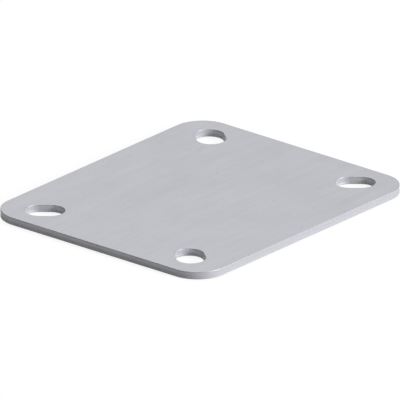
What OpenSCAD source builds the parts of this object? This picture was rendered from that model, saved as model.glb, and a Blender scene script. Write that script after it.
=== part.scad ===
// Flat steel mounting plate with rounded corners and a diagonal bolt slot near each corner.
// Each slot runs from a narrow bolt spacing out to a wide one, so that one plate takes both.
// X runs along the length, Y along the width and Z up, in millimetres.
// The origin is the middle of the underside.

/* [Plate] */
// Length of the plate, along X
plate_length = 100; // [98:1:160]
// Width of the plate, along Y
plate_width = 85; // [84:1:140]
// Thickness of the sheet
plate_thickness = 2.5; // [1.5:0.5:6]
// Radius of the corners, seen from above
corner_radius = 10; // [3:0.5:12]
// Radius of the small rounding on every edge, round the outline and in the slots
edge_radius = 0.2; // [0.1:0.05:0.5]

/* [Slots] */
// Width of each slot, which clears the bolt
slot_width = 9; // [5:0.5:11]
// Bolt spacing along X with the bolts at the slots' outer ends
wide_spacing_x = 80; // [79:0.5:84]
// Bolt spacing along Y with the bolts at the slots' outer ends
wide_spacing_y = 60; // [58:0.5:64]
// Bolt spacing along X with the bolts at the slots' inner ends
narrow_spacing_x = 76; // [64:0.5:78]
// Bolt spacing along Y with the bolts at the slots' inner ends
narrow_spacing_y = 55; // [44:0.5:57]

/* [Hidden] */
$fn = 96;

// How far a cutting shape reaches past the metal that it cuts
overshoot = 1;

slot_radius = slot_width / 2;
// From the centre of a slot's inner end to that of its outer end, where X and Y are positive
slot_run = [wide_spacing_x - narrow_spacing_x, wide_spacing_y - narrow_spacing_y] / 2;
slot_travel = norm(slot_run);
slot_angle = atan2(slot_run.y, slot_run.x);
// Centre of the corner's arc, where X and Y are positive
corner_centre = [plate_length, plate_width] / 2 - [corner_radius, corner_radius];

// Repeats what is drawn where X and Y are positive in the other three quarters
module in_every_quarter() {
    for (flip_x = [0, 1], flip_y = [0, 1])
        mirror([flip_x, 0, 0])
            mirror([0, flip_y, 0])
                children();
}

// Section of the plate's rim: from a corner arc's centre, at x = 0, out to the side wall,
// with the upper and the lower edge rounded
module rim_section() {
    square([corner_radius - edge_radius, plate_thickness]);
    translate([0, edge_radius])
        square([corner_radius, plate_thickness - 2 * edge_radius]);
    for (z = [edge_radius, plate_thickness - edge_radius])
        translate([corner_radius - edge_radius, z])
            circle(edge_radius);
}

// A straight stretch of rim, centred on the origin, whose side wall faces +X
module straight_rim(length) {
    rotate([90, 0, 0])
        linear_extrude(height = length, center = true)
            rim_section();
}

// The plate before its slots are cut: a flat middle, four rims and four round corners
module blank() {
    translate([-corner_centre.x, -corner_centre.y, 0])
        cube([2 * corner_centre.x, 2 * corner_centre.y, plate_thickness]);
    for (flip = [0, 1]) {
        mirror([flip, 0, 0])
            translate([corner_centre.x, 0, 0])
                straight_rim(2 * corner_centre.y);
        mirror([0, flip, 0])
            translate([0, corner_centre.y, 0])
                rotate([0, 0, 90])
                    straight_rim(2 * corner_centre.x);
    }
    in_every_quarter()
        translate([corner_centre.x, corner_centre.y, 0])
            rotate_extrude(angle = 90)
                rim_section();
}

// Half the section of a slot's space, from its middle, at x = 0, out to its wall. It widens
// at both faces, which leaves the metal's edges round.
module slot_section() {
    difference() {
        translate([0, -overshoot])
            square([slot_radius + edge_radius, plate_thickness + 2 * overshoot]);
        translate([slot_radius, edge_radius])
            square([edge_radius + overshoot, plate_thickness - 2 * edge_radius]);
        for (z = [edge_radius, plate_thickness - edge_radius])
            translate([slot_radius + edge_radius, z])
                circle(edge_radius);
    }
}

// The round end of a slot's space, centred on the origin and facing +X
module slot_end() {
    rotate([0, 0, -90])
        rotate_extrude(angle = 180)
            slot_section();
}

// The space of one slot, from its inner end at the origin along +X to its outer end
module slot_space() {
    mirror([1, 0, 0])
        slot_end();
    rotate([90, 0, 90])
        linear_extrude(height = slot_travel) {
            slot_section();
            mirror([1, 0])
                slot_section();
        }
    translate([slot_travel, 0, 0])
        slot_end();
}

module plate() {
    color([0.75, 0.755, 0.775])
        difference() {
            blank();
            in_every_quarter()
                translate([narrow_spacing_x / 2, narrow_spacing_y / 2, 0])
                    rotate([0, 0, slot_angle])
                        slot_space();
        }
}

plate();
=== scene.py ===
"""Dresses a slotted steel mounting plate: the punched sheet, its satin zinc finish and a pale studio."""
import math

import bmesh
import bpy
from bpy.props import FloatProperty, FloatVectorProperty, IntProperty, PointerProperty
from bpy.types import NodeSocket, Operator, Panel, PropertyGroup
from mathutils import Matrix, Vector


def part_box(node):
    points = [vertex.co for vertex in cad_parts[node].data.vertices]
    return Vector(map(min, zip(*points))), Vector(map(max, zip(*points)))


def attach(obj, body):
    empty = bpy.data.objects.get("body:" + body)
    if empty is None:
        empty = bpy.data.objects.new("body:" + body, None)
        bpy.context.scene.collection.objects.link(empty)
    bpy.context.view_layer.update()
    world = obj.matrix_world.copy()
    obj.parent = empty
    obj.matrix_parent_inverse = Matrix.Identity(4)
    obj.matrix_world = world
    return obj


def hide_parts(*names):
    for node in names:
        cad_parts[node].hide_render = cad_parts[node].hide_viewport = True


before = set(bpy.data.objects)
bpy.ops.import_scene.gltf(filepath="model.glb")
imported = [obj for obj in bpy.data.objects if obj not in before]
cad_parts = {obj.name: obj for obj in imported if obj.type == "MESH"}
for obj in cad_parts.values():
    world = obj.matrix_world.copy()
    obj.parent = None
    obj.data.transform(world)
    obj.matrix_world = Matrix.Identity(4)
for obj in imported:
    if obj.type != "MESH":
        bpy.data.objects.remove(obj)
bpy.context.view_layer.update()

bl_info = {
    "name": "Slotted Mounting Plate",
    "version": (1, 0, 0),
    "blender": (4, 5, 0),
    "location": "View3D > Sidebar > Plate",
    "description": "Models a punched steel mounting plate, gives it a satin zinc finish and lights it",
    "category": "Object",
}

NODE = "plate"
LOW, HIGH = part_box(NODE)
# How far the block below the floor lies beneath it
UNDER_FLOOR = 0.001
# Lengths within this of each other are the same
TOLERANCE = 1e-6
# A face is level where its normal's Z is more than this
LEVEL = 0.99
# Edges that turn by less than this are shaded smooth
SMOOTH_ANGLE = math.radians(40)
# Width of the strip beside a rounding that keeps the face beyond it flat, as a share of the radius
HOLD = 0.2
# The torn band has its full depth up to this far from what lies beside it, as a share of the radius
TORN_MARGIN = 0.5
# The part of a rounding's width, seen from above, that takes the wall's finish
WALL_SHARE = 0.7
# How fine the grains' noise goes, and how far it swings from one half
GRAIN_DETAIL = 2.5
GRAIN_SWING = 0.28
# Sets one tone's noise apart from the next one's
TONE_SHIFT = 17.3
# Length, width and contrast of the broad bands from rolling, against the fine lines'
BAND_STRETCH = Vector((3, 7, 7))
BAND_SHARE = 0.6
# Size of the patches from handling, against the zinc's clouds
HANDLED_STRETCH = Vector((0.6, 0.4, 1))
# How far the rolled lines and the handling swing the roughness
ROLL_GLOSS = 0.06
HANDLED_GLOSS = 0.06
# How much a rim's rubbing, and the painted shade that comes with it, varies with handling, and its least
RUB = (0.5, 0.6)
# Turn and spacing of each run of scratches
SCRATCH_RUNS = ((0.5, 0.0035), (-0.9, 0.005), (1.9, 0.006))
# How much closer their patches lie, and the noise where a patch starts and where it is full
SCRATCH_PATCH = (2.3, 0.4, 1.0)
SCRATCH_COVER = (0.52, 0.62)


class PlateSizes(PropertyGroup):
    """Sizes of the sheet that its outside box doesn't give."""

    corner_radius: FloatProperty(
        name="Corner radius", description="Radius of the outline's corners", default=0.010, unit="LENGTH"
    )
    edge_radius: FloatProperty(
        name="Edge radius",
        description="Rounding where a face meets a cut wall",
        default=0.0002,
        unit="LENGTH",
    )
    slot_width: FloatProperty(
        name="Slot width", description="Width of each bolt slot", default=0.009, unit="LENGTH"
    )
    wide_spacing: FloatVectorProperty(
        name="Wide spacing",
        description="Bolt spacing along X and Y at the slots' outer ends",
        size=2,
        default=(0.080, 0.060),
        unit="LENGTH",
    )
    narrow_spacing: FloatVectorProperty(
        name="Narrow spacing",
        description="Bolt spacing along X and Y at the slots' inner ends",
        size=2,
        default=(0.076, 0.055),
        unit="LENGTH",
    )
    fracture_top: FloatProperty(
        name="Fracture top",
        description="Height on the wall where the smooth sheared band ends and the torn band starts",
        default=0.00135,
        unit="LENGTH",
    )
    fracture_depth: FloatProperty(
        name="Fracture depth", description="How far the torn band lies back", default=0.00003, unit="LENGTH"
    )
    fracture_wave: FloatVectorProperty(
        name="Fracture wave",
        description="Size of the waves in the line where the torn band starts",
        size=3,
        default=(0.0012, 0.0012, 0.01),
        unit="LENGTH",
    )
    fracture_swing: FloatProperty(
        name="Fracture swing",
        description="How far that line wanders up and down",
        default=0.0003,
        unit="LENGTH",
    )
    corner_steps: IntProperty(
        name="Corner steps",
        description="Edges along a quarter turn",
        default=28,
        min=4,
    )
    edge_steps: IntProperty(name="Edge steps", description="Edges across the rounding", default=6, min=1)


class SteelFinish(PropertyGroup):
    """Colours, gloss and marks of the satin zinc surface."""

    sheet_color: FloatVectorProperty(
        name="Sheet",
        description="Colour of the flat faces",
        size=3,
        default=(0.542, 0.548, 0.581),
        subtype="COLOR",
    )
    # Darker than the sheet. The rubbed rims and the scratches take it; on the rims the darkness is partly
    # painted shade that damps the highlight their rounding catches
    worn_and_shade_color: FloatVectorProperty(
        name="Worn edge",
        description="Colour of the rubbed rims",
        size=3,
        default=(0.49, 0.495, 0.523),
        subtype="COLOR",
    )
    sheared_color: FloatVectorProperty(
        name="Sheared band",
        description="Colour of the smooth upper band of the cut walls",
        size=3,
        default=(0.527, 0.531, 0.573),
        subtype="COLOR",
    )
    # Nearly the sheared band's colour and a touch lighter: painted light that lifts the low walls against
    # the shade near the floor
    torn_color_with_painted_lift: FloatVectorProperty(
        name="Torn band",
        description="Colour of the broken lower band of the cut walls",
        size=3,
        default=(0.529, 0.533, 0.575),
        subtype="COLOR",
    )
    metallic: FloatProperty(name="Metallic", description="Share of bare metal", default=0.38, min=0, max=1)
    roughness: FloatProperty(name="Roughness", description="Mean roughness", default=0.53, min=0, max=1)
    torn_roughness: FloatProperty(
        name="Torn roughness", description="How much rougher the torn band is", default=0.15, min=0, max=1
    )
    rim_polish: FloatProperty(
        name="Rim polish", description="How much smoother the rubbed rims are", default=0.1, min=0, max=1
    )
    roll_line: FloatProperty(
        name="Roll line", description="Width of the fine lines from rolling", default=0.00032, unit="LENGTH"
    )
    roll_length: FloatProperty(
        name="Roll length",
        description="Length of the fine lines from rolling",
        default=0.022,
        unit="LENGTH",
    )
    roll_depth: FloatProperty(
        name="Roll depth", description="Depth of the lines from rolling", default=0.000002, unit="LENGTH"
    )
    roll_contrast: FloatProperty(
        name="Roll contrast",
        description="How far the rolled lines swing the colour",
        default=0.08,
        min=0,
        max=1,
    )
    cloud_size: FloatProperty(
        name="Cloud size",
        description="Size of the patches where the zinc took differently",
        default=0.018,
        unit="LENGTH",
    )
    cloud_contrast: FloatProperty(
        name="Cloud contrast",
        description="How far the patches swing the colour",
        default=0.035,
        min=0,
        max=1,
    )
    wear_width: FloatProperty(
        name="Wear width",
        description="How far the rubbed rim reaches into a face",
        default=0.0004,
        unit="LENGTH",
    )
    scratch_length: FloatProperty(
        name="Scratch length", description="Length of the handling scratches", default=0.016, unit="LENGTH"
    )
    scratch_strength: FloatProperty(
        name="Scratch strength",
        description="How far a scratch shows the worn colour",
        default=0.6,
        min=0,
        max=1,
    )
    scratch_depth: FloatProperty(
        name="Scratch depth", description="Depth of the handling scratches", default=0.000002, unit="LENGTH"
    )
    streak_size: FloatVectorProperty(
        name="Streak size",
        description="Width, width and height of the streaks that the punch draws down the sheared band",
        size=3,
        default=(0.00022, 0.00022, 0.004),
        unit="LENGTH",
    )
    streak_contrast: FloatProperty(
        name="Streak contrast",
        description="How far the streaks swing the colour",
        default=0.14,
        min=0,
        max=1,
    )
    streak_depth: FloatProperty(
        name="Streak depth", description="Depth of the streaks", default=0.000003, unit="LENGTH"
    )
    crystal_size: FloatProperty(
        name="Crystal size",
        description="Size of the broken grains in the torn band",
        default=0.00018,
        unit="LENGTH",
    )
    crystal_contrast: FloatProperty(
        name="Crystal contrast",
        description="How far the broken grains swing the colour",
        default=0.35,
        min=0,
        max=1,
    )
    crystal_depth: FloatProperty(
        name="Crystal depth",
        description="How far the broken grains stand out",
        default=0.00002,
        unit="LENGTH",
    )


class StudioSettings(PropertyGroup):
    """Camera, lamps and floor."""

    view_azimuth: FloatProperty(
        name="Azimuth",
        description="Turn of the view from +Y",
        default=math.radians(-49.98),
        subtype="ANGLE",
    )
    view_elevation: FloatProperty(
        name="Elevation",
        description="Height of the view over the floor",
        default=math.radians(21.97),
        subtype="ANGLE",
    )
    view_width: FloatProperty(
        name="View width", description="What the square picture spans", default=0.12141, unit="LENGTH"
    )
    view_drop: FloatProperty(
        name="View drop",
        description="How far the picture's middle lies below the upper face's middle",
        default=0.00117,
        unit="LENGTH",
    )
    view_distance: FloatProperty(
        name="View distance",
        description="Camera to plate",
        default=1.0,
        unit="LENGTH",
    )
    floor_size: FloatProperty(
        name="Floor size", description="Side of the floor", default=8.0, unit="LENGTH"
    )
    floor_grey: FloatProperty(
        name="Floor grey",
        description="Share of the light that the floor sends back",
        default=0.13,
        min=0,
        max=1,
    )
    floor_glow: FloatProperty(
        name="Floor glow",
        description="What the background adds to the floor to show as white",
        default=0.88,
        min=0,
    )
    sky_level: FloatProperty(name="Sky level", description="Light from all round", default=0.07, min=0)
    key_power: FloatProperty(
        name="Key power", description="Soft lamp at the picture's right front", default=48.0, unit="POWER"
    )
    key_side: FloatProperty(
        name="Key side",
        description="Turn of the key lamp from the camera towards the picture's right",
        default=math.radians(67.3),
        subtype="ANGLE",
    )
    key_rise: FloatProperty(
        name="Key rise",
        description="Height of the key lamp over the floor",
        default=math.radians(23),
        subtype="ANGLE",
    )
    fill_power: FloatProperty(
        name="Fill power", description="Soft lamp over the camera's right", default=2.5, unit="POWER"
    )
    fill_side: FloatProperty(
        name="Fill side",
        description="Turn of the fill lamp from the camera towards the picture's right",
        default=math.radians(16),
        subtype="ANGLE",
    )
    fill_rise: FloatProperty(
        name="Fill rise",
        description="Height of the fill lamp over the floor",
        default=math.radians(29),
        subtype="ANGLE",
    )
    back_power: FloatProperty(
        name="Back power", description="Soft lamp high behind the plate", default=20.6, unit="POWER"
    )
    back_side: FloatProperty(
        name="Back side",
        description="Turn of the back lamp from the camera towards the picture's right",
        default=math.radians(195),
        subtype="ANGLE",
    )
    back_rise: FloatProperty(
        name="Back rise",
        description="Height of the back lamp over the floor",
        default=math.radians(58),
        subtype="ANGLE",
    )
    lamp_size: FloatProperty(name="Lamp size", description="Side of each lamp", default=0.8, unit="LENGTH")
    lamp_distance: FloatProperty(
        name="Lamp distance", description="From the plate to each lamp", default=2.0, unit="LENGTH"
    )


def start_shape(add, name, **options):
    """Adds one primitive with nothing else selected, names it and returns its object."""
    bpy.ops.object.select_all(action="DESELECT")
    add(**options)
    shape = bpy.context.active_object
    shape.name = name
    return shape


def select_edges(shape, wanted):
    """In edit mode, selects the edges for which wanted(edge) is true, and nothing else."""
    bpy.ops.mesh.select_mode(type="EDGE")
    bpy.ops.mesh.select_all(action="DESELECT")
    mesh = bmesh.from_edit_mesh(shape.data)
    for edge in mesh.edges:
        edge.select_set(wanted(edge))
    bmesh.update_edit_mesh(shape.data)


def rounded_loop(name, size, radius, steps, centre=(0, 0), turn=0.0):
    """A closed loop of edges with round corners on the floor plane: a plane with its corners bevelled."""
    loop = start_shape(
        bpy.ops.mesh.primitive_plane_add, name, size=1, location=(*centre, 0), rotation=(0, 0, turn)
    )
    loop.scale = (*size, 1)
    bpy.ops.object.transform_apply(location=True, rotation=True, scale=True)
    bpy.ops.object.mode_set(mode="EDIT")
    bpy.ops.mesh.select_all(action="SELECT")
    bpy.ops.mesh.bevel(offset=radius, segments=steps, profile=0.5, affect="VERTICES", clamp_overlap=False)
    bpy.ops.mesh.select_all(action="SELECT")
    bpy.ops.mesh.remove_doubles(threshold=TOLERANCE)
    bpy.ops.mesh.delete(type="ONLY_FACE")
    bpy.ops.object.mode_set(mode="OBJECT")
    return loop


def round_off(shape, radius, steps, side):
    """Rounds the rims of the upper (side 1) or lower (side -1) face by insets up a quarter circle."""
    bpy.ops.mesh.select_mode(type="FACE")
    bpy.ops.mesh.select_all(action="DESELECT")
    mesh = bmesh.from_edit_mesh(shape.data)
    for face in mesh.faces:
        face.select_set(face.normal.z * side > LEVEL)
    bmesh.update_edit_mesh(shape.data)
    turns = [math.pi / 2 * i / steps for i in range(steps + 1)]
    for turn, after in zip(turns, turns[1:]):
        bpy.ops.mesh.inset(
            thickness=radius * (math.cos(turn) - math.cos(after)),
            depth=radius * (math.sin(after) - math.sin(turn)),
        )
    bpy.ops.mesh.inset(thickness=HOLD * radius)


def slot_layout(sizes):
    """The middle of the slot where X and Y are positive, and its run outwards between its arcs' centres."""
    wide, narrow = Vector(sizes.wide_spacing), Vector(sizes.narrow_spacing)
    return (wide + narrow) / 4, (wide - narrow) / 2


def flat_sheet(sizes):
    """The sheet's plan on the floor plane, in edit mode: one face with a round outline and four slots."""
    length, width, _ = HIGH - LOW
    steps = sizes.corner_steps
    loops = [rounded_loop("sheet", (length, width), sizes.corner_radius, steps)]
    middle, run = slot_layout(sizes)
    slot_size = (run.length + sizes.slot_width, sizes.slot_width)
    turn = math.atan2(run.y, run.x)
    for x_side in (-1, 1):
        for y_side in (-1, 1):
            centre = (x_side * middle.x, y_side * middle.y)
            slot_turn = x_side * y_side * turn
            loops.append(rounded_loop("slot", slot_size, sizes.slot_width / 2, steps, centre, slot_turn))
    for loop in loops:
        loop.select_set(True)
    sheet = loops[0]
    bpy.context.view_layer.objects.active = sheet
    bpy.ops.object.join()
    bpy.ops.object.mode_set(mode="EDIT")
    bpy.ops.mesh.select_mode(type="EDGE")
    bpy.ops.mesh.select_all(action="SELECT")
    bpy.ops.mesh.fill()
    return sheet


def thicken(sheet, sizes):
    """In edit mode, gives the flat sheet its thickness, its rounded edges and its walls' torn band."""
    thickness = (HIGH - LOW).z
    edge = sizes.edge_radius
    held = edge * (1 + HOLD)
    torn = (edge * (1 + TORN_MARGIN), sizes.fracture_top - edge * TORN_MARGIN)
    heights = (edge, held, *torn, sizes.fracture_top, thickness - held, thickness - edge)
    bpy.ops.transform.translate(value=(0, 0, edge))
    for below, above in zip(heights, heights[1:]):
        bpy.ops.mesh.extrude_region_move(TRANSFORM_OT_translate={"value": (0, 0, above - below)})
    bpy.ops.mesh.select_all(action="SELECT")
    bpy.ops.mesh.normals_make_consistent(inside=False)
    round_off(sheet, edge, sizes.edge_steps, 1)
    round_off(sheet, edge, sizes.edge_steps, -1)

    def is_torn(line):
        return all(min(abs(end.co.z - height) for height in torn) < TOLERANCE for end in line.verts)

    select_edges(sheet, is_torn)
    bpy.ops.transform.shrink_fatten(value=-sizes.fracture_depth)


def shade_smooth(shape):
    """Shades the roundings smooth, with the flat faces' normals kept straight."""
    bpy.ops.object.shade_smooth_by_angle(angle=SMOOTH_ANGLE)
    bpy.ops.object.modifier_add(type="WEIGHTED_NORMAL")
    weighted = shape.modifiers[-1]
    weighted.weight = 100
    weighted.keep_sharp = True
    bpy.ops.object.modifier_apply(modifier=weighted.name)


class PLATE_OT_model_sheet(Operator):
    """Models the sheet with its rounded outline, its four slots and the two bands of its cut walls"""

    bl_idname = "plate.model_sheet"
    bl_label = "Model Sheet"

    def execute(self, context):
        sizes = context.scene.plate_sizes
        sheet = flat_sheet(sizes)
        thicken(sheet, sizes)
        bpy.ops.object.mode_set(mode="OBJECT")
        shade_smooth(sheet)
        sheet.data.materials.clear()
        sheet.data.materials.append(zinc_steel(sizes, context.scene.steel_finish))
        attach(sheet, "root")
        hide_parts(NODE)
        return {"FINISHED"}


def place(tree, kind, inputs=(), **settings):
    """Adds a node with its settings, and links its inputs, a list or a dict, or sets them to values."""
    node = tree.nodes.new(kind)
    for name, value in settings.items():
        setattr(node, name, value)
    for key, value in inputs.items() if isinstance(inputs, dict) else enumerate(inputs):
        if isinstance(value, NodeSocket):
            tree.links.new(value, node.inputs[key])
        else:
            node.inputs[key].default_value = value
    return node


def maths(tree, operation, *values):
    """The result of a Math node."""
    return place(tree, "ShaderNodeMath", values, operation=operation).outputs["Value"]


def vectors(tree, operation, *values):
    """The vector that a Vector Math node puts out."""
    return place(tree, "ShaderNodeVectorMath", values, operation=operation).outputs["Vector"]


def measured(tree, operation, *values):
    """The number that a Vector Math node puts out."""
    return place(tree, "ShaderNodeVectorMath", values, operation=operation).outputs["Value"]


def scaled(tree, vector, share):
    """A vector or colour times a number."""
    inputs = {"Vector": vector, "Scale": share}
    return place(tree, "ShaderNodeVectorMath", inputs, operation="SCALE").outputs["Vector"]


def noise(tree, position, detail=0.0):
    """Smooth noise about one half, whose grains are one unit across."""
    inputs = {"Vector": position, "Scale": 1.0, "Detail": detail}
    return place(tree, "ShaderNodeTexNoise", inputs).outputs[0]


def fade(tree, value, low, high, rises=True):
    """A mask that changes smoothly between the values low and high: up to 1, or down from 1."""
    start, end = (0, 1) if rises else (1, 0)
    inputs = {"Value": value, "From Min": low, "From Max": high, "To Min": start, "To Max": end}
    return place(tree, "ShaderNodeMapRange", inputs, interpolation_type="SMOOTHSTEP").outputs["Result"]


def blend(tree, mask, below, above):
    """One colour over another by a mask."""
    return place(tree, "ShaderNodeMix", {0: mask, 6: below, 7: above}, data_type="RGBA").outputs[2]


def shaded(tree, colour, tone, contrast):
    """A colour made lighter or darker by a tone whose mean is one half."""
    return scaled(tree, colour, maths(tree, "MULTIPLY_ADD", tone, contrast, 1 - contrast / 2))


def swung(tree, level, tone, swing):
    """A level that swings up and down with a tone whose mean is one half."""
    return maths(tree, "ADD", level, maths(tree, "MULTIPLY_ADD", tone, swing, -swing / 2))


def start_group(name, inputs, *outputs):
    """A shader node group: its tree, the sockets that bring its inputs and those that take its results."""
    tree = bpy.data.node_groups.new(name, "ShaderNodeTree")
    for label, value in inputs.items():
        kind = "NodeSocketVector" if isinstance(value, tuple) else "NodeSocketFloat"
        tree.interface.new_socket(label, in_out="INPUT", socket_type=kind).default_value = value
    for label in outputs:
        tree.interface.new_socket(label, in_out="OUTPUT", socket_type="NodeSocketFloat")
    return tree, tree.nodes.new("NodeGroupInput").outputs, tree.nodes.new("NodeGroupOutput").inputs


def cut_edge_distance():
    """A group: how far a point of the sheet is, seen from above, from the nearest cut wall."""
    tree, given, results = start_group(
        "cut edge distance",
        {
            "Position": (0.0, 0.0, 0.0),
            "Corner Middle": (0.04, 0.0325, 0.0),
            "Corner Radius": 0.01,
            "Slot Middle": (0.039, 0.02875, 0.0),
            "Slot Direction": (1.0, 0.0, 0.0),
            "Slot Reach": 0.0016,
            "Slot Radius": 0.0045,
        },
        "Distance",
    )
    # The plate's four quarters are alike, so every point is measured in the one where X and Y are positive
    quarter = vectors(tree, "MULTIPLY", vectors(tree, "ABSOLUTE", given["Position"]), (1, 1, 0))
    # Inside the outline, which lies a corner radius outside a rectangle through the corners' middles
    beyond = vectors(tree, "SUBTRACT", quarter, given["Corner Middle"])
    outside = measured(tree, "LENGTH", vectors(tree, "MAXIMUM", beyond, (0, 0, 0)))
    sides = place(tree, "ShaderNodeSeparateXYZ", [beyond]).outputs
    inside = maths(tree, "MINIMUM", maths(tree, "MAXIMUM", sides["X"], sides["Y"]), 0)
    from_rim = maths(tree, "SUBTRACT", given["Corner Radius"], maths(tree, "ADD", outside, inside))
    # Outside the slot, which lies a slot radius round the line between its arcs' centres
    offset = vectors(tree, "SUBTRACT", quarter, given["Slot Middle"])
    along = measured(tree, "DOT_PRODUCT", offset, given["Slot Direction"])
    back = maths(tree, "MULTIPLY", given["Slot Reach"], -1)
    along = maths(tree, "MAXIMUM", maths(tree, "MINIMUM", along, given["Slot Reach"]), back)
    nearest = scaled(tree, given["Slot Direction"], along)
    from_line = measured(tree, "LENGTH", vectors(tree, "SUBTRACT", offset, nearest))
    from_slot = maths(tree, "SUBTRACT", from_line, given["Slot Radius"])
    tree.links.new(maths(tree, "MINIMUM", from_rim, from_slot), results["Distance"])
    return tree


def grain():
    """A group: a tone from 0 to 1 whose grains have a given size along each axis."""
    tree, given, results = start_group(
        "grain", {"Position": (0.0, 0.0, 0.0), "Grain Size": (0.001, 0.001, 0.001), "Shift": 0.0}, "Tone"
    )
    counted = vectors(tree, "DIVIDE", given["Position"], given["Grain Size"])
    tone = noise(tree, vectors(tree, "ADD", counted, given["Shift"]), GRAIN_DETAIL)
    spread = {"Value": tone, "From Min": 0.5 - GRAIN_SWING, "From Max": 0.5 + GRAIN_SWING}
    tree.links.new(place(tree, "ShaderNodeMapRange", spread).outputs["Result"], results["Tone"])
    return tree


def hairline_scratches():
    """A group: a mask of thin, nearly straight scratches that run one way and come in loose patches."""
    tree, given, results = start_group(
        "hairline scratches",
        {
            "Position": (0.0, 0.0, 0.0),
            "Turn": 0.0,
            "Length": 0.016,
            "Spacing": 0.003,
            "Width": 0.012,
            "Shift": 0.0,
        },
        "Scratch",
    )
    inputs = {"Vector": given["Position"], "Angle": given["Turn"]}
    turned = place(tree, "ShaderNodeVectorRotate", inputs, rotation_type="Z_AXIS").outputs["Vector"]
    cell = place(tree, "ShaderNodeCombineXYZ", [given["Length"], given["Spacing"], 1.0]).outputs["Vector"]
    counted = vectors(tree, "ADD", vectors(tree, "DIVIDE", turned, cell), given["Shift"])
    # The noise passes one half along thin wandering lines
    off_line = maths(tree, "ABSOLUTE", maths(tree, "SUBTRACT", noise(tree, counted), 0.5))
    line = fade(tree, off_line, 0.0, given["Width"], rises=False)
    patches = noise(tree, vectors(tree, "MULTIPLY", counted, SCRATCH_PATCH), detail=1.0)
    patch = fade(tree, patches, *SCRATCH_COVER)
    tree.links.new(maths(tree, "MULTIPLY", line, patch), results["Scratch"])
    return tree


def cut_edge_zones():
    """A group: masks of the rubbed rims, the cut walls and the walls' torn lower band."""
    tree, given, results = start_group(
        "cut edge zones",
        {
            "Position": (0.0, 0.0, 0.0),
            "Distance": 0.0,
            "Edge Radius": 0.0002,
            "Thickness": 0.0025,
            "Wear Width": 0.0004,
            "Fracture Top": 0.00135,
            "Fracture Fade": 0.00016,
            "Ragged": 0.0,
        },
        "Rim",
        "Wall",
        "Torn",
    )
    height = place(tree, "ShaderNodeSeparateXYZ", [given["Position"]]).outputs["Z"]
    from_face = maths(tree, "MINIMUM", height, maths(tree, "SUBTRACT", given["Thickness"], height))
    near_wall = fade(tree, given["Distance"], 0.0, given["Wear Width"], rises=False)
    near_face = fade(tree, from_face, 0.0, given["Wear Width"], rises=False)
    tree.links.new(maths(tree, "MULTIPLY", near_wall, near_face), results["Rim"])
    reach = maths(tree, "MULTIPLY", given["Edge Radius"], WALL_SHARE)
    wall = fade(tree, given["Distance"], 0.0, reach, rises=False)
    tree.links.new(wall, results["Wall"])
    under = maths(tree, "SUBTRACT", given["Fracture Top"], maths(tree, "ADD", height, given["Ragged"]))
    torn = fade(tree, under, 0.0, given["Fracture Fade"])
    tree.links.new(maths(tree, "MULTIPLY", wall, torn), results["Torn"])
    return tree


def surface_tones(tree, position, sizes, finish):
    """The tones that colour, gloss and relief share, each from 0 to 1 about a mean of one half."""
    grain_group = grain()
    rolled = Vector((finish.roll_length, finish.roll_line, finish.roll_line))
    clouded = Vector((1, 1, 1)) * finish.cloud_size
    grains = {
        "rolled": rolled,
        "banded": rolled * BAND_STRETCH,
        "clouded": clouded,
        "handled": clouded * HANDLED_STRETCH,
        "streaked": finish.streak_size,
        "broken": Vector((1, 1, 1)) * finish.crystal_size,
        "ragged": sizes.fracture_wave,
    }
    tones = {}
    for number, (name, size) in enumerate(grains.items(), 1):
        inputs = {"Position": position, "Grain Size": size, "Shift": number * TONE_SHIFT}
        tones[name] = place(tree, "ShaderNodeGroup", inputs, node_tree=grain_group).outputs["Tone"]
    return tones


def scratch_marks(tree, position, finish):
    """A mask of the scratches from handling, which run several ways."""
    scratch_group = hairline_scratches()
    marks = 0.0
    for number, (turn, spacing) in enumerate(SCRATCH_RUNS, 1):
        inputs = {
            "Position": position,
            "Turn": turn,
            "Length": finish.scratch_length,
            "Spacing": spacing,
            "Shift": number * TONE_SHIFT,
        }
        run = place(tree, "ShaderNodeGroup", inputs, node_tree=scratch_group).outputs["Scratch"]
        marks = maths(tree, "MAXIMUM", run, marks)
    return marks


def plate_zones(tree, position, sizes, finish, ragged):
    """The masks of the rims, the cut walls and the torn band, laid out from the plate's sizes."""
    length, width, thickness = HIGH - LOW
    middle, run = slot_layout(sizes)
    layout = {
        "Position": position,
        "Corner Middle": (length / 2 - sizes.corner_radius, width / 2 - sizes.corner_radius, 0),
        "Corner Radius": sizes.corner_radius,
        "Slot Middle": (*middle, 0),
        "Slot Direction": (*run.normalized(), 0),
        "Slot Reach": run.length / 2,
        "Slot Radius": sizes.slot_width / 2,
    }
    distance = place(tree, "ShaderNodeGroup", layout, node_tree=cut_edge_distance()).outputs["Distance"]
    edges = {
        "Position": position,
        "Distance": distance,
        "Edge Radius": sizes.edge_radius,
        "Thickness": thickness,
        "Wear Width": finish.wear_width,
        "Fracture Top": sizes.fracture_top,
        "Ragged": swung(tree, 0.0, ragged, sizes.fracture_swing),
    }
    return place(tree, "ShaderNodeGroup", edges, node_tree=cut_edge_zones()).outputs


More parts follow.
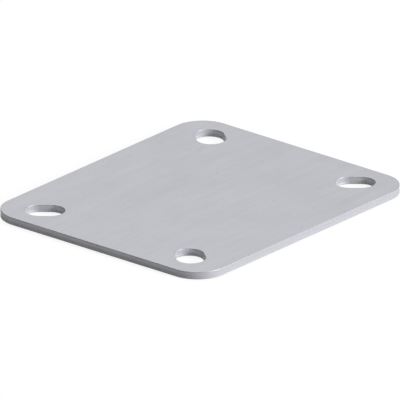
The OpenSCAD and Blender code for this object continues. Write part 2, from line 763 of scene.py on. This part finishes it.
def zinc_steel(sizes, finish):
    """Satin zinc over cold rolled sheet, with rubbed edges and walls that a punch has sheared and torn. The
    rims' darker colour is partly painted shade, and the torn band's slight lift is painted light.
    """
    material = bpy.data.materials.new("zinc_steel")
    material.use_nodes = True
    tree = material.node_tree
    position = tree.nodes.new("ShaderNodeTexCoord").outputs["Object"]
    tones = surface_tones(tree, position, sizes, finish)
    zones = plate_zones(tree, position, sizes, finish, tones["ragged"])
    on_face = maths(tree, "SUBTRACT", 1, zones["Wall"])
    scratched = maths(tree, "MULTIPLY", scratch_marks(tree, position, finish), on_face)
    rubbed = maths(tree, "MULTIPLY", zones["Rim"], maths(tree, "MULTIPLY_ADD", tones["handled"], *RUB))

    sheet = shaded(tree, (*finish.sheet_color,), tones["rolled"], finish.roll_contrast)
    sheet = shaded(tree, sheet, tones["banded"], finish.roll_contrast * BAND_SHARE)
    sheet = shaded(tree, sheet, tones["clouded"], finish.cloud_contrast)
    sheared = shaded(tree, (*finish.sheared_color,), tones["streaked"], finish.streak_contrast)
    # The torn band's colour, a touch lighter than the sheared band's, is painted light that lifts the low
    # walls against the shade near the floor
    torn = shaded(tree, (*finish.torn_color_with_painted_lift,), tones["broken"], finish.crystal_contrast)
    worn_and_shade = (*finish.worn_and_shade_color, 1)
    colour = blend(tree, zones["Wall"], sheet, blend(tree, zones["Torn"], sheared, torn))
    # Painted shade on the rims: the worn colour, darker than the sheet, damps their rounding's highlight,
    # besides showing the rubbing
    colour = blend(tree, rubbed, colour, worn_and_shade)
    colour = blend(tree, maths(tree, "MULTIPLY", scratched, finish.scratch_strength), colour, worn_and_shade)

    rough = swung(tree, finish.roughness, tones["rolled"], ROLL_GLOSS)
    rough = swung(tree, rough, tones["handled"], HANDLED_GLOSS)
    rough = maths(tree, "MULTIPLY_ADD", zones["Torn"], finish.torn_roughness, rough)
    rough = maths(tree, "MULTIPLY_ADD", rubbed, -finish.rim_polish, rough)

    relief = 0.0
    for tone, zone, depth in (
        (tones["rolled"], on_face, finish.roll_depth),
        (scratched, on_face, -finish.scratch_depth),
        (tones["streaked"], zones["Wall"], finish.streak_depth),
        (tones["broken"], zones["Torn"], finish.crystal_depth),
    ):
        relief = maths(tree, "MULTIPLY_ADD", maths(tree, "MULTIPLY", tone, zone), depth, relief)
    # The relief is in metres, so one unit of it is one metre
    bump = place(tree, "ShaderNodeBump", {"Strength": 1.0, "Distance": 1.0, "Height": relief})

    shader = tree.nodes["Principled BSDF"]
    shader.inputs["Metallic"].default_value = finish.metallic
    tree.links.new(colour, shader.inputs["Base Color"])
    tree.links.new(rough, shader.inputs["Roughness"])
    tree.links.new(bump.outputs["Normal"], shader.inputs["Normal"])
    return material


def only_background_rays(tree):
    """A value of 1 for the rays that see the background: the camera's, and those of gloss and glass."""
    rays = tree.nodes.new("ShaderNodeLightPath").outputs
    seen = maths(tree, "MAXIMUM", rays["Is Camera Ray"], rays["Is Glossy Ray"])
    return maths(tree, "MAXIMUM", seen, rays["Is Transmission Ray"])


def pale_surface(name, grey, glow):
    """A dull pale material, with a glow that only background rays see and that lights nothing else."""
    material = bpy.data.materials.new(name)
    material.use_nodes = True
    tree = material.node_tree
    shader = tree.nodes["Principled BSDF"]
    shader.inputs["Base Color"].default_value = (grey, grey, grey, 1)
    shader.inputs["Roughness"].default_value = 1
    shader.inputs["Specular IOR Level"].default_value = 0
    shader.inputs["Emission Color"].default_value = (1, 1, 1, 1)
    strength = maths(tree, "MULTIPLY", only_background_rays(tree), glow)
    tree.links.new(strength, shader.inputs["Emission Strength"])
    # The glow is no lamp, and sampling it as one would leave the cut walls grainy
    material.cycles.emission_sampling = "NONE"
    return material


def hang_lamp(name, studio, side, rise, power):
    """Hangs a square soft lamp that faces the plate, turned from the camera towards the picture's right."""
    turn = studio.view_azimuth + side
    away = Vector((math.sin(turn), -math.cos(turn), 0)) * math.cos(rise) + Vector((0, 0, math.sin(rise)))
    bpy.ops.object.select_all(action="DESELECT")
    bpy.ops.object.light_add(
        type="AREA", location=away * studio.lamp_distance, rotation=(math.pi / 2 - rise, 0, turn)
    )
    lamp = bpy.context.active_object
    lamp.name = name
    lamp.data.size = studio.lamp_size
    lamp.data.energy = power


def lay_floor(studio):
    """Lays the floor, and a block below it for the rays of a low view that start under the floor."""
    size = studio.floor_size
    floor = start_shape(bpy.ops.mesh.primitive_plane_add, "floor", size=size)
    floor.data.materials.append(pale_surface("pale_floor", studio.floor_grey, studio.floor_glow))
    middle = (0, 0, -size / 2 - UNDER_FLOOR)
    under = start_shape(bpy.ops.mesh.primitive_cube_add, "under_floor", size=size, location=middle)
    bpy.ops.object.transform_apply(location=True, rotation=True, scale=True)
    under.data.materials.append(pale_surface("pale_under_floor", studio.floor_grey, 1))


def light_sky(scene, studio):
    """Gives the scene a white sky that lights it a little from all round."""
    world = bpy.data.worlds.new("studio")
    world.use_nodes = True
    world.node_tree.nodes["Background"].inputs["Strength"].default_value = studio.sky_level
    world.node_tree.nodes["Background"].inputs["Color"].default_value = (1, 1, 1, 1)
    scene.world = world


def set_camera(scene, studio):
    """Sets a parallel camera at the photo's angle."""
    turn = studio.view_azimuth
    rise = studio.view_elevation
    forward = Vector((-math.sin(turn), math.cos(turn), 0))
    look = forward * math.cos(rise) - Vector((0, 0, math.sin(rise)))
    up = forward * math.sin(rise) + Vector((0, 0, math.cos(rise)))
    aim = Vector((0, 0, HIGH.z)) - up * studio.view_drop
    bpy.ops.object.select_all(action="DESELECT")
    bpy.ops.object.camera_add(
        location=aim - look * studio.view_distance, rotation=(math.pi / 2 - rise, 0, turn)
    )
    camera = bpy.context.active_object
    camera.data.type = "ORTHO"
    camera.data.ortho_scale = studio.view_width
    scene.camera = camera
    scene.view_settings.view_transform = "Standard"


class PLATE_OT_set_stage(Operator):
    """Lays the floor, hangs the lamps and sets the camera"""

    bl_idname = "plate.set_stage"
    bl_label = "Set Stage"

    def execute(self, context):
        studio = context.scene.studio_settings
        lay_floor(studio)
        light_sky(context.scene, studio)
        hang_lamp("key", studio, studio.key_side, studio.key_rise, studio.key_power)
        hang_lamp("fill", studio, studio.fill_side, studio.fill_rise, studio.fill_power)
        hang_lamp("back", studio, studio.back_side, studio.back_rise, studio.back_power)
        set_camera(context.scene, studio)
        return {"FINISHED"}


class PLATE_PT_sidebar(Panel):
    """Lists the plate's steps and their settings"""

    bl_label = "Mounting Plate"
    bl_space_type = "VIEW_3D"
    bl_region_type = "UI"
    bl_category = "Plate"

    def draw(self, context):
        scene = context.scene
        for settings, step in (
            (scene.plate_sizes, PLATE_OT_model_sheet),
            (scene.steel_finish, None),
            (scene.studio_settings, PLATE_OT_set_stage),
        ):
            box = self.layout.box()
            for name in settings.__annotations__:
                box.prop(settings, name)
            if step:
                box.operator(step.bl_idname)


CLASSES = (
    PlateSizes,
    SteelFinish,
    StudioSettings,
    PLATE_OT_model_sheet,
    PLATE_OT_set_stage,
    PLATE_PT_sidebar,
)
SETTINGS = {"plate_sizes": PlateSizes, "steel_finish": SteelFinish, "studio_settings": StudioSettings}


def register():
    for cls in CLASSES:
        bpy.utils.register_class(cls)
    for name, group in SETTINGS.items():
        setattr(bpy.types.Scene, name, PointerProperty(type=group))


def unregister():
    for name in SETTINGS:
        delattr(bpy.types.Scene, name)
    for cls in reversed(CLASSES):
        bpy.utils.unregister_class(cls)


def main():
    register()
    bpy.ops.plate.model_sheet()
    bpy.ops.plate.set_stage()


if __name__ == "__main__":
    main()
